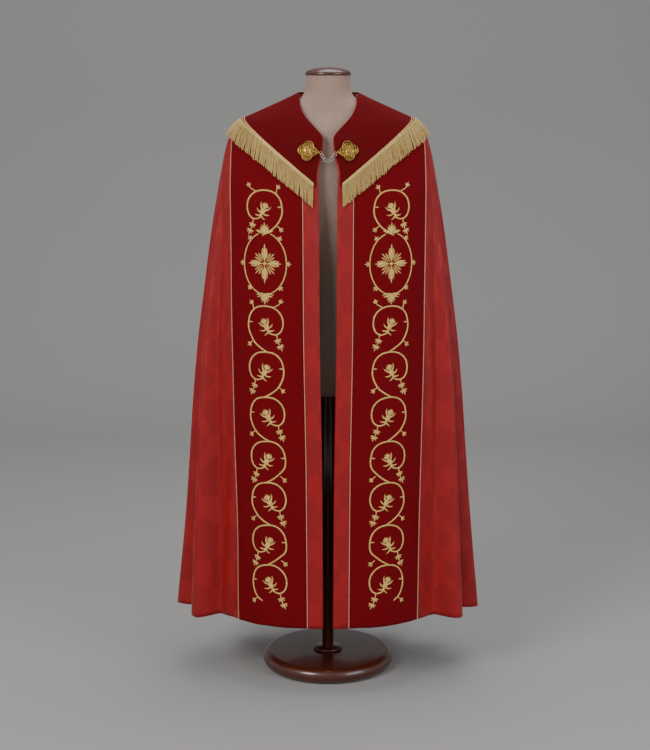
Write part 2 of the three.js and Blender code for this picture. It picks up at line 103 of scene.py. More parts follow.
def foldDepth(angle, z):
    angle, z = np.broadcast_arrays(np.asarray(angle, float), np.asarray(z, float))
    grown = np.clip((folds[:, 0] - z[..., None]) / (folds[:, 0] - cope["hemZ"]), 0, 1)
    at = folds[:, 1] + (folds[:, 2] - folds[:, 1]) * grown
    out = folds[:, 3] * grown ** 0.85
    nxt = np.sum(at <= angle[..., None], axis=-1)
    inside = (nxt > 0) & (nxt < len(folds))
    k = np.clip(nxt, 1, len(folds) - 1)
    pick = lambda a, j: np.take_along_axis(a, j[..., None], -1)[..., 0]
    a0, a1, o0, o1 = pick(at, k - 1), pick(at, k), pick(out, k - 1), pick(out, k)
    share = np.clip((angle - a0) / np.maximum(a1 - a0, 1e-6), 0, 1)
    falling = o0 > o1
    fromRidge = np.where(falling, share, 1 - share)
    ridge, valley = np.where(falling, o0, o1), np.where(falling, o1, o0)
    eased = np.sin(math.pi / 2 * fromRidge ** 1.25) ** 2
    return np.where(inside, ridge + (valley - ridge) * eased, 0)


def creases(angle, z):
    # soft uneven troughs that run down the cloth and fade towards the shoulders
    rng = np.random.default_rng(cope["seed"])
    total = np.zeros(np.broadcast(angle, z).shape)
    for i in range(14):
        rate = rng.uniform(7, 40)
        lean = rng.uniform(-9, 9)
        phase = rng.uniform(0, 2 * math.pi)
        rise = rng.uniform(1.5, 6)
        total = total + np.sin(np.radians(angle) * rate + lean * z + phase) * np.sin(rise * z + phase * 3)
    low = np.clip((1.45 - z) / 1.0, 0, 1)
    return total / 4 * cope["creaseDepth"] * (0.35 + low)


def clothPoint(angle, z, wrinkled=True):
    angle, z = np.broadcast_arrays(np.asarray(angle, float), np.asarray(z, float))
    turn = np.radians(angle)
    side = readTable(rings, z, 1)
    depth = np.where(np.cos(turn) > 0, readTable(rings, z, 2), readTable(rings, z, 3))
    nx, ny = -np.sin(turn) / side, -np.cos(turn) / depth
    size = np.hypot(nx, ny)
    out = foldDepth(angle, z)
    if wrinkled:
        out = out + creases(angle, z)
    return np.stack([-side * np.sin(turn) + nx / size * out, -depth * np.cos(turn) + ny / size * out, z], -1)


def clothOffset(angle, z, distance=0.0, wrinkled=True):
    angle, z = np.broadcast_arrays(np.asarray(angle, float), np.asarray(z, float))
    across = clothPoint(angle + 0.6, z, wrinkled) - clothPoint(angle - 0.6, z, wrinkled)
    up = clothPoint(angle, np.minimum(z + 0.002, cope["neckZ"]), wrinkled)
    up = up - clothPoint(angle, np.maximum(z - 0.002, cope["hemZ"]), wrinkled)
    normal = np.cross(up, across)
    normal /= np.linalg.norm(normal, axis=-1, keepdims=True)
    return clothPoint(angle, z, wrinkled) + normal * np.asarray(distance)[..., None]


def angleAtX(x, z):
    return np.degrees(np.arcsin(np.clip(x / readTable(rings, z, 1), 0, 1)))


# Walked distance round each half from the front edge, so that bands keep their width
walkRows = np.linspace(cope["hemZ"], 1.650, 220)
walkAngles = np.linspace(0, 92, 369)
walked = {}
for half in ("left", "right"):
    angles = walkAngles if half == "left" else 360 - walkAngles
    grid = clothPoint(angles[None, :], walkRows[:, None], False)
    steps = np.linalg.norm(np.diff(grid, axis=1), axis=-1)
    length = np.concatenate([np.zeros((len(walkRows), 1)), np.cumsum(steps, axis=1)], axis=1)
    edge = angleAtX(readTable(frontEdge, walkRows, 1), walkRows)
    line = np.where(walkRows > 1.451, angleAtX(0.026, walkRows), edge)
    start = np.array([np.interp(a, walkAngles, row) for a, row in zip(line, length)])
    walked[half] = length - start[:, None]
reach = np.linspace(-0.03, 0.34, 186)
angleGrid = {h: np.array([np.interp(reach, row, walkAngles) for row in walked[h]]) for h in walked}


def angleAt(half, distance, z):
    # the angle on one half at a walked distance from the front edge
    distance, z = np.broadcast_arrays(np.asarray(distance, float), np.asarray(z, float))
    r = np.clip((z - walkRows[0]) / (walkRows[1] - walkRows[0]), 0, len(walkRows) - 1.001)
    c = np.clip((distance - reach[0]) / (reach[1] - reach[0]), 0, len(reach) - 1.001)
    i, j = r.astype(int), c.astype(int)
    fr, fc = r - i, c - j
    g = angleGrid[half]
    top = g[i, j] * (1 - fc) + g[i, j + 1] * fc
    low = g[i + 1, j] * (1 - fc) + g[i + 1, j + 1] * fc
    angle = top * (1 - fr) + low * fr
    return angle if half == "left" else 360 - angle


# mesh helpers
def meshPiece(name, points, faces, material, uvs=None, smooth=True):
    mesh = bpy.data.meshes.new(name)
    places = [tuple(p) for p in np.asarray(points, float)]
    mesh.from_pydata(places, [], [tuple(int(i) for i in f) for f in faces])
    piece = bpy.data.objects.new(name, mesh)
    bpy.context.scene.collection.objects.link(piece)
    mesh.materials.append(material)
    if uvs is not None:
        layer = mesh.uv_layers.new(name="clothUv")
        flat = np.asarray(uvs, float)
        corner = np.empty(len(mesh.loops), dtype=np.int32)
        mesh.loops.foreach_get("vertex_index", corner)
        layer.data.foreach_set("uv", flat[corner].ravel())
    if smooth:
        mesh.polygons.foreach_set("use_smooth", [True] * len(mesh.polygons))
    mesh.update()
    return piece


def wallMesh(outer, inner, uv=None):
    # a closed wall between two grids of points, columns rising round the garment, rows going down
    rows, columns = outer.shape[:2]
    points = np.concatenate([outer.reshape(-1, 3), inner.reshape(-1, 3)])
    n = rows * columns
    r, c = np.meshgrid(np.arange(rows - 1), np.arange(columns - 1), indexing="ij")
    a = (r * columns + c).ravel()
    b, d, e = a + columns, a + columns + 1, a + 1
    faces = [np.stack([a, e, d, b], -1), np.stack([a, b, d, e], -1) + n]
    c = np.arange(columns - 1)
    top, low = c, (rows - 1) * columns + c
    faces.append(np.stack([top, top + n, top + 1 + n, top + 1], -1))
    faces.append(np.stack([low, low + 1, low + 1 + n, low + n], -1))
    r = np.arange(rows - 1) * columns
    far = r + columns - 1
    faces.append(np.stack([r, r + columns, r + columns + n, r + n], -1))
    faces.append(np.stack([far, far + n, far + columns + n, far + columns], -1))
    if uv is not None:
        uv = np.concatenate([uv.reshape(-1, 2), uv.reshape(-1, 2)])
    return points, np.concatenate(faces), uv


class Batch:
    # gathers many small shapes into one mesh
    def __init__(self):
        self.points, self.faces, self.uvs, self.count = [], [], [], 0

    def add(self, points, faces, uvs=None):
        points = np.asarray(points, float)
        self.points.append(points)
        self.faces.extend([tuple(int(i) + self.count for i in f) for f in faces])
        self.uvs.append(np.zeros((len(points), 2)) if uvs is None else np.asarray(uvs, float))
        self.count += len(points)

    def piece(self, name, material):
        return meshPiece(name, np.concatenate(self.points), self.faces, material, np.concatenate(self.uvs))


# shader helpers
class Value:
    # a socket that takes part in plain arithmetic
    def __init__(self, tree, socket):
        self.tree, self.socket = tree, socket

    def math(self, operation, other=None, swap=False):
        node = self.tree.nodes.new("ShaderNodeMath")
        node.operation = operation
        order = [self, other] if not swap else [other, self]
        for slot, item in zip(node.inputs, order):
            if isinstance(item, Value):
                self.tree.links.new(item.socket, slot)
            elif item is not None:
                slot.default_value = item
        return Value(self.tree, node.outputs[0])

    def __add__(self, other): return self.math("ADD", other)
    def __radd__(self, other): return self.math("ADD", other)
    def __sub__(self, other): return self.math("SUBTRACT", other)
    def __rsub__(self, other): return self.math("SUBTRACT", other, True)
    def __mul__(self, other): return self.math("MULTIPLY", other)
    def __rmul__(self, other): return self.math("MULTIPLY", other)
    def __truediv__(self, other): return self.math("DIVIDE", other)
    def __pow__(self, other): return self.math("POWER", other)


class Finish:
    # a material and the one way nodes are added to it
    def __init__(self, name, **constants):
        self.material = bpy.data.materials.new(name)
        self.material.use_nodes = True
        self.tree = self.material.node_tree
        self.shader = self.tree.nodes["Principled BSDF"]
        for key, value in constants.items():
            self.shader.inputs[self.label(key)].default_value = value

    def label(self, key):
        names = {"sheen": "Sheen Weight", "sheenRoughness": "Sheen Roughness", "coat": "Coat Weight",
                 "coatRoughness": "Coat Roughness", "roughness": "Roughness", "metallic": "Metallic",
                 "specular": "Specular IOR Level"}
        return names[key]

    def node(self, kind, settings=None, output=0, **inputs):
        made = self.tree.nodes.new(kind)
        for key, value in (settings or {}).items():
            if key == "stops":
                ramp = made.color_ramp
                while len(ramp.elements) < len(value):
                    ramp.elements.new(0.5)
                for element, (place, colour) in zip(ramp.elements, value):
                    element.position = place
                    element.color = colour
            else:
                setattr(made, key, value)
        for key, value in inputs.items():
            slot = made.inputs[int(key[1:])] if key[0] == "i" and key[1:].isdigit() else made.inputs[key]
            if isinstance(value, Value):
                self.tree.links.new(value.socket, slot)
            else:
                slot.default_value = value
        return Value(self.tree, made.outputs[output])

    def coords(self, which="Object"):
        made = self.tree.nodes.new("ShaderNodeTexCoord")
        return Value(self.tree, made.outputs[which])

    def axes(self, vector):
        made = self.tree.nodes.new("ShaderNodeSeparateXYZ")
        self.tree.links.new(vector.socket, made.inputs[0])
        return [Value(self.tree, o) for o in made.outputs]

    def mix(self, factor, a, b, blend="MIX"):
        made = self.tree.nodes.new("ShaderNodeMix")
        made.data_type = "RGBA"
        made.blend_type = blend
        for slot, item in ((made.inputs[0], factor), (made.inputs[6], a), (made.inputs[7], b)):
            if isinstance(item, Value):
                self.tree.links.new(item.socket, slot)
            else:
                slot.default_value = item
        return Value(self.tree, made.outputs[2])

    def noise(self, vector, scale, detail=3.0, roughness=0.5):
        return self.node("ShaderNodeTexNoise", None, 0, Vector=vector, Scale=scale, Detail=detail,
                         Roughness=roughness)

    def bump(self, height, strength, distance):
        normal = self.node("ShaderNodeBump", None, 0, Height=height, Strength=strength, Distance=distance)
        self.feed("Normal", normal)

    def feed(self, name, value):
        self.tree.links.new(value.socket, self.shader.inputs[name])


def srgb(r, g, b):
    turn = lambda v: v / 12.92 if v <= 0.04045 else ((v + 0.055) / 1.055) ** 2.4
    return (turn(r / 255), turn(g / 255), turn(b / 255), 1)


damaskLook = {"lit": (158, 24, 27), "deep": (146, 20, 23), "motif": 9.0, "threads": 900}


def damaskFinish():
    look = damaskLook
    f = Finish("damaskSatin", roughness=0.5, sheen=0.06, sheenRoughness=0.4, specular=0.3)
    u, v, _ = f.axes(f.coords("UV"))
    place = f.coords("UV")
    # woven leaf motifs: two waves cross and a slow noise breaks their outline
    wave = lambda s, rate, shift=0.0: (s * rate + shift).math("SINE")
    rate = 2 * math.pi * look["motif"]
    motif = wave(u, rate) * wave(v, rate * 0.62) + wave(u, rate * 2, 1.3) * wave(v, rate * 1.24, 0.4) * 0.55
    ragged = f.noise(place, 26.0, 4.0) - 0.5
    figure = f.node("ShaderNodeMapRange", {"interpolation_type": "SMOOTHSTEP"}, 0, Value=motif + ragged * 1.6,
                    **{"From Min": 0.02, "From Max": 0.2})
    mottled = f.noise(place, 7.0, 3.0)
    colour = f.mix(figure, srgb(*look["deep"]), srgb(*look["lit"]))
    colour = f.mix(mottled * 0.35, colour, srgb(124, 14, 18))
    f.feed("Base Color", colour)
    f.feed("Roughness", 0.52 - figure * 0.12 + mottled * 0.06)
    weave = wave(u, 2 * math.pi * look["threads"]) * wave(v, 2 * math.pi * look["threads"] * 0.7)
    f.bump(weave * 0.2 + figure * 0.5 + f.noise(place, 60.0, 4.0) * 0.5, 0.35, 0.0006)
    return f.material


def velvetFinish(name, lit, deep):
    f = Finish(name, roughness=0.85, sheen=0.16, sheenRoughness=0.4, specular=0.1)
    f.shader.inputs["Sheen Tint"].default_value = srgb(205, 40, 50)
    place = f.coords("UV")
    pile = f.noise(place, 30.0, 5.0, 0.6)
    colour = f.mix(pile, srgb(*deep), srgb(*lit))
    f.feed("Base Color", colour)
    f.feed("Roughness", 0.78 + pile * 0.15)
    f.bump(f.noise(place, 1400.0, 2.0) * 0.6 + f.noise(place, 220.0, 3.0) * 0.4, 0.5, 0.0008)
    return f.material


def threadFinish(name, lit, deep, across, metallic=0.45, roughness=0.38):
    # satin stitch or twisted thread: fine ridges across the piece's own length, each painted lighter on its
    # crest and darker in its trough
    f = Finish(name, metallic=metallic, roughness=roughness, sheen=0.1, specular=0.5)
    u, v, _ = f.axes(f.coords("UV"))
    ridge = ((u + v * 0.55) * across).math("SINE")
    patchy = f.noise(f.coords("Object"), 160.0, 3.0)
    # colour: painted highlight on each ridge and painted shade between ridges, over random patches of tone
    ridgeShadeAndTone = ridge * 0.22 + patchy * 0.9 + 0.1
    f.feed("Base Color", f.mix(ridgeShadeAndTone, srgb(*deep), srgb(*lit)))
    f.feed("Roughness", roughness - 0.08 + patchy * 0.25)
    f.bump(ridge * 0.6 + patchy * 0.6, 0.6, 0.0005)
    return f.material


def metalFinish(name, lit, deep, roughness):
    f = Finish(name, metallic=1.0, roughness=roughness)
    grain = f.noise(f.coords(), 240.0, 4.0)
    f.feed("Base Color", f.mix(grain, srgb(*deep), srgb(*lit)))
    f.feed("Roughness", roughness - 0.08 + grain * 0.2)
    f.bump(grain, 0.15, 0.0004)
    return f.material


def linenFinish():
    f = Finish("formLinen", roughness=0.9, sheen=0.15, specular=0.2)
    place = f.coords()
    x, y, z = f.axes(place)
    warp = ((x + y * 0.6) * 2600).math("SINE")
    weft = (z * 2600).math("SINE")
    slub = f.noise(place, 90.0, 4.0)
    f.feed("Base Color", f.mix(slub * 0.7 + warp * weft * 0.15, srgb(150, 124, 110), srgb(178, 152, 136)))
    f.bump(warp * 0.4 + weft * 0.4 + slub * 0.6, 0.35, 0.0006)
    return f.material


def woodFinish():
    f = Finish("formWood", roughness=0.32, coat=0.6, coatRoughness=0.12)
    place = f.node("ShaderNodeMapping", None, 0, Vector=f.coords(), Scale=(1, 7, 1))
    streak = f.noise(place, 9.0, 6.0, 0.6)
    fine = f.noise(place, 80.0, 4.0)
    f.feed("Base Color", f.mix(streak * 0.8 + fine * 0.25, srgb(34, 9, 4), srgb(96, 40, 20)))
    f.feed("Roughness", 0.24 + fine * 0.2)
    f.bump(streak * 0.5 + fine * 0.5, 0.12, 0.0006)
    return f.material


damask = damaskFinish()
orphreyVelvet = velvetFinish("orphreyVelvet", (118, 9, 19), (98, 5, 13))
hoodVelvet = velvetFinish("hoodVelvet", (100, 6, 13), (84, 4, 10))
embroideryGold = threadFinish("embroideryGold", (255, 226, 140), (206, 154, 74), 2 * math.pi * 1100)
cordGold = threadFinish("cordGold", (236, 178, 150), (196, 120, 92), 2 * math.pi * 260, 0.25, 0.45)
fringeGold = threadFinish("fringeGold", (250, 222, 150), (190, 150, 80), 2 * math.pi * 420, 0.55, 0.34)
claspGold = metalFinish("claspGold", (226, 192, 110), (176, 134, 56), 0.26)
linkSteel = metalFinish("linkSteel", (226, 226, 222), (176, 176, 176), 0.22)
linen = linenFinish()
wood = woodFinish()
print("finishes made")


# the cope's cloth: both fronts and the back, one shell from front edge to front edge
def copeGrid():
    zs = np.concatenate([
        np.linspace(cope["neckZ"], cope["yokeEnd"], cope["yokeRows"], endpoint=False),
        np.linspace(cope["yokeEnd"], cope["hemZ"], cope["rows"] - cope["yokeRows"]),
    ])
    t = np.linspace(0, 1, cope["columns"])
    # columns are spread evenly from one front edge to the other
    edge = angleAtX(readTable(frontEdge, zs, 1), zs)
    angles = edge[:, None] + (360 - 2 * edge[:, None]) * t[None, :]
    return angles, np.broadcast_to(zs[:, None], angles.shape)


angles, heights = copeGrid()
outer = clothOffset(angles, heights, 0.0)
inner = clothOffset(angles, heights, -cope["wall"])
around = np.concatenate([[0], np.cumsum(np.linalg.norm(np.diff(outer[-1], axis=0), axis=-1))])
uv = np.stack([np.broadcast_to(around[None, :], angles.shape), heights], -1)
points, faces, uv = wallMesh(outer, inner, uv)
copeCloth = meshPiece("copeCloth", points, faces, damask, uv)
print("cope cloth", len(faces), "faces")

# the orphreys: velvet bands down both fronts
bandStart, bandEnd = orphrey["inset"], orphrey["inset"] + orphrey["width"]


def bandAngles(half, share, z):
    distance = bandStart + (bandEnd - bandStart) * share
    angle = angleAt(half, distance, z)
    edge = angleAtX(readTable(frontEdge, z, 1), z) + 4
    if half == "left":
        return np.clip(angle, edge, 85)
    return np.clip(angle, 275, 360 - edge)


orphreys = []
for half in ("left", "right"):
    zs = np.concatenate([
        np.linspace(orphrey["topZ"], 1.5, 22, endpoint=False),
        np.linspace(1.5, cope["hemZ"] + 0.0004, 150),
    ])
    shares = np.linspace(0, 1, 34)
    if half == "right":
        shares = shares[::-1]
    angles = bandAngles(half, shares[None, :], zs[:, None])
    heights = np.broadcast_to(zs[:, None], angles.shape)
    lift = orphrey["lift"]
    low = clothOffset(angles, heights, lift)
    # the band's long edges are turned under, so it is a little thinner there
    edgeShare = np.minimum(shares, 1 - shares) * orphrey["width"]
    puff = orphrey["thickness"] * (0.55 + 0.45 * np.clip(edgeShare / 0.006, 0, 1))
    high = clothOffset(angles, heights, lift + np.broadcast_to(puff[None, :], angles.shape))
    uv = np.stack([np.broadcast_to(shares[None, :] * orphrey["width"], angles.shape), heights], -1)
    points, faces, uv = wallMesh(high, low, uv)
    band = meshPiece(f"orphrey_{half}_velvet", points, faces, orphreyVelvet, uv)
    orphreys.append(band)
print("orphreys made")

# embroidery, drawn in millimetres about a band's middle line: u towards the outside, v downwards
embroidery = {
    "stemWidth": 4.6, "stemHeight": 1.5, "leafHeight": 1.7,
    "scrollTops": (1088, 962, 837, 714, 598, 478, 365), "scrollPitch": 120,
    "topScroll": 1403, "medallion": 1204, "ovalHalf": (62, 84),
}


def smoothLine(points, count):
    # an even run of points on a smooth curve through the given ones
    p = np.array([points[0]] + list(points) + [points[-1]], float)
    out = []
    for i in range(len(p) - 3):
        for t in np.linspace(0, 1, 10, endpoint=False):
            a, b, c, d = p[i:i + 4]
            squared, cubed = 2 * a - 5 * b + 4 * c - d, 3 * b - a - 3 * c + d
            out.append(0.5 * (2 * b + (c - a) * t + squared * t ** 2 + cubed * t ** 3))
    out.append(p[-2])
    out = np.array(out)
    far = np.concatenate([[0], np.cumsum(np.linalg.norm(np.diff(out, axis=0), axis=-1))])
    even = np.linspace(0, far[-1], count)
    return np.stack([np.interp(even, far, out[:, 0]), np.interp(even, far, out[:, 1])], -1), even


class Needle:
    # works shapes given in flat band millimetres onto one orphrey
    def __init__(self, half):
        self.half = half
        self.batch = Batch()

    def lay(self, flat, height):
        u, v = flat[..., 0] / 1000, flat[..., 1] / 1000
        base = orphrey["lift"] + orphrey["thickness"]
        distance = bandStart + orphrey["width"] / 2 + u
        angle = angleAt(self.half, distance, v)
        return clothOffset(angle, v, base + np.asarray(height) / 1000)

    def strip(self, line, widths, height, along):
        # a raised run whose section is a low arch
        n = len(line)
        tangent = np.gradient(line, axis=0)
        tangent /= np.linalg.norm(tangent, axis=1, keepdims=True) + 1e-9
        normal = np.stack([-tangent[:, 1], tangent[:, 0]], -1)
        section = np.array([-1, -0.72, 0, 0.72, 1])
        rise = np.array([-0.25, 0.62, 1.0, 0.62, -0.25])
        flat = line[:, None, :] + normal[:, None, :] * (widths[:, None, None] / 2 * section[None, :, None])
        high = np.asarray(height)
        if high.ndim == 0:
            high = np.full(n, float(high))
        placed = self.lay(flat, high[:, None] * rise[None, :])
        lengthways = np.broadcast_to(along[:, None] / 1000, (n, 5))
        uv = np.stack([lengthways, section * widths[:, None] / 2000], -1)
        faces = []
        for i in range(n - 1):
            for j in range(4):
                a = i * 5 + j
                faces.append((a, a + 1, a + 6, a + 5))
        faces.append((0, 1, 2, 3, 4)[::-1])
        faces.append(tuple(range((n - 1) * 5, n * 5)))
        self.batch.add(placed.reshape(-1, 3), faces, uv.reshape(-1, 2))

    def stem(self, points, width=None, count=None, taper=0.15):
        width = width or embroidery["stemWidth"]
        rough = np.sum(np.linalg.norm(np.diff(np.array(points, float), axis=0), axis=1))
        line, along = smoothLine(points, count or max(6, int(rough / 4.2)))
        share = np.linspace(0, 1, len(line))
        ends = np.clip(np.minimum(share, 1 - share) / 0.06, 0, 1)
        widths = width * (1 - taper * (1 - ends))
        self.strip(line, widths, embroidery["stemHeight"], along)

    def leaf(self, root, direction, length, width, curl=0.0, height=None, belly=0.45):
        # a pointed satin-stitch leaf; direction in degrees, 0 outwards, 90 up, curl bends it as it goes
        count = 9
        share = np.linspace(0, 1, count)
        heading = np.radians(direction + curl * share)
        step = length / (count - 1)
        moves = np.stack([np.cos(heading), np.sin(heading)], -1) * step
        line = np.array(root, float) + np.concatenate([[[0, 0]], np.cumsum(moves[:-1], axis=0)])
        rising = np.sin(share / belly * math.pi / 2) ** 0.8
        falling = np.cos((share - belly) / (1 - belly) * math.pi / 2) ** 0.85
        shape = np.where(share < belly, rising, falling)
        widths = width * np.maximum(shape, 0.1)
        high = (height or embroidery["leafHeight"]) * (0.45 + 0.55 * shape)
        self.strip(line, widths, high, share * length)

    def boss(self, centre, radius, height=2.4):
        rings = 4
        around = 14
        points, uv = [], []
        for i in range(rings):
            r = radius * (1 - i / rings)
            h = height * math.sin(math.pi / 2 * i / rings) - 0.3 * (i == 0)
            for k in range(around):
                a = 2 * math.pi * k / around
                points.append((centre[0] + r * math.cos(a), centre[1] + r * math.sin(a), h))
                uv.append((r / 1000, k / around * 0.02))
        points.append((centre[0], centre[1], height))
        uv.append((0, 0))
        points = np.array(points)
        faces = []
        for i in range(rings - 1):
            for k in range(around):
                a, b = i * around + k, i * around + (k + 1) % around
                faces.append((a, b, b + around, a + around))
        for k in range(around):
            faces.append(((rings - 1) * around + k, (rings - 1) * around + (k + 1) % around, rings * around))
        faces.append(tuple(range(around))[::-1])
        self.batch.add(self.lay(points[:, :2], points[:, 2]), faces, uv)

    def threeLeaf(self, root, direction, size=12.0):
        for turn, share in ((0, 1.0), (52, 0.8), (-52, 0.8)):
            self.leaf(root, direction + turn, size * share, size * 0.42, -turn * 0.4)
        self.boss(root, size * 0.2, 2.0)

    def sprig(self, points, direction, size=12.0):
        self.stem(points, 3.0)
        self.threeLeaf(points[-1], direction, size)

    def palmette(self, root, up):
        # seven leaves in a fan on a wide curled foot; up is +1 or -1
        fan = ((0, 26, 6.5), (24, 22, 6), (-24, 22, 6), (48, 19, 5.5), (-48, 19, 5.5), (74, 24, 6),
               (-74, 24, 6))
        for turn, length, width in fan:
            self.leaf(root, 90 * up + turn, length, width, -turn * 0.25 * (1 if abs(turn) < 60 else -0.6))
        self.leaf((root[0], root[1] - 3 * up), 6, 27, 6.5, 26 * up)
        self.leaf((root[0], root[1] - 3 * up), 174, 27, 6.5, -26 * up)
        self.boss((root[0], root[1] - 1 * up), 5)

    def flower(self, root, direction, hand):
        # a spray at a scroll's inner end: bulb, calyx, tufted head and curling arms
        c, s = math.cos(math.radians(direction)), math.sin(math.radians(direction))

        def at(along, across):
            return root[0] + along * c - hand * across * s, root[1] + along * s + hand * across * c

        self.boss(root, 5.2, 2.8)
        self.leaf(at(2, 0), direction, 26, 10, 0, 2.4)
        self.leaf(at(4, 2), direction + hand * 8, 22, 7, hand * 10, 2.0)
        self.leaf(at(4, -2), direction - hand * 8, 22, 7, -hand * 10, 2.0)
        for i in range(7):
            turn = (i - 3) * 19
            self.leaf(at(26, 0), direction + turn, 15 - abs(i - 3) * 0.9, 4.2, turn * 0.15, 1.9, 0.6)
        self.boss(at(27, 0), 4.6, 2.8)
        arms = ((16, 62, 27, 4.6, -58), (16, -62, 27, 4.6, 58), (10, 105, 24, 4.6, -64),
                (10, -105, 22, 4.6, 70), (4, 138, 19, 4.4, -60), (4, -138, 19, 4.4, 60))
        for along, turn, length, width, curl in arms:
            self.leaf(at(along, 0), direction + hand * turn, length, width, hand * curl)
        for turn in (34, -34):
            self.leaf(at(14, 0), direction + hand * turn, 17, 3.6, hand * turn * 0.3)

    def scroll(self, top, hand, pitch, first=False, last=False):
        # one turn of the vine: the stem rises from the next turn, passes over and curls in to the spray
        p = lambda u, v: (u * hand, top - v)
        tail = [(-22, 104), (-38, 92)] if last else [(6, pitch), (-14, pitch - 11), (-34, pitch - 27)]
        vine = [(-48, 72), (-51, 49), (-44, 22), (-26, 5), (0, 0), (26, 5), (45, 22), (51, 46), (45, 68),
                (30, 78), (12, 74)]
        self.stem([p(*place) for place in tail + vine])
        self.flower(p(11, 70), 90 + hand * 28, hand)
        self.leaf(p(-50, 45), 0 if hand > 0 else 180, 13, 4.2)
        self.sprig([p(-36, 96), p(-42, 100), p(-45, 104)], 90 + hand * 125, 12)
        # the double leaf that hangs beside the inner end
        self.stem([p(33, 77), p(34, 88), p(38, 98)], 3.0)
        for root, heading in (((35, 92), -90 + hand * 18), ((42, 108), -90 + hand * 22)):
            spot = p(*root)
            for turn in (0, 50, -50, 95, -95):
                self.leaf(spot, heading + turn, 15 if turn == 0 else 11.5, 4.8, -turn * 0.3)
            self.boss(spot, 2.6, 2.0)
        if first:
            self.sprig([p(-34, 12), p(-36, 0), p(-38, -6)], 90 + hand * 40, 12)
            self.sprig([p(24, 3), p(38, -4), p(44, -10)], 90 - hand * 20, 12)

    def cross(self, centre):
        for i, length in enumerate((48, 54, 48, 54)):
            heading = i * 90
            c, s = math.cos(math.radians(heading)), math.sin(math.radians(heading))
            at = lambda along: (centre[0] + c * along, centre[1] + s * along)
            self.leaf(at(4), heading, length - 4, 8.5, 0, 2.2, 0.5)
            for along, turn, size in ((10, 30, 22), (20, 34, 19), (30, 36, 14)):
                self.leaf(at(along), heading + turn, size, 4.8, -14)
                self.leaf(at(along), heading - turn, size, 4.8, 14)
        for i in range(4):
            for turn, length in ((45, 32), (31, 26), (59, 26)):
                heading = i * 90 + turn
                away = math.radians(heading)
                spot = (centre[0] + 8 * math.cos(away), centre[1] + 8 * math.sin(away))
                self.leaf(spot, heading, length, 4.0, 0, 1.5, 0.75)
        self.boss(centre, 5.5, 3.0)

    def medallion(self, middle):
        a, b = embroidery["ovalHalf"]
        turn = np.linspace(math.radians(16), math.radians(164), 16)
        for side in (1, -1):
            self.stem([(side * a * math.sin(t), middle + b * math.cos(t)) for t in turn], 3.8)
        for t in (40, 90, 138):
            for side in (1, -1):
                r = math.radians(t)
                root = (side * (a + 2) * math.sin(r), middle + (b + 2) * math.cos(r))
                heading = math.degrees(math.atan2(math.cos(r), side * math.sin(r)))
                self.threeLeaf(root, heading, 12)
        self.palmette((0, middle + b + 2), 1)
        self.palmette((0, middle - b - 2), -1)
        self.cross((0, middle))


for half in ("left", "right"):
    # u runs towards the outside on both halves, so the right band mirrors the left
    needle = Needle(half)
    e = embroidery
    needle.scroll(e["topScroll"], 1, 122, first=True)
    needle.medallion(e["medallion"])
    tops = list(e["scrollTops"])
    for i, top in enumerate(tops):
        last = i == len(tops) - 1
        pitch = (top - tops[i + 1]) if not last else e["scrollPitch"]
        needle.scroll(top, -1 if i % 2 == 0 else 1, pitch, first=i == 0, last=last)
    worked = needle.batch.piece(f"embroidery_{half}", embroideryGold)
    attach(worked, "root")
print("embroidery worked")


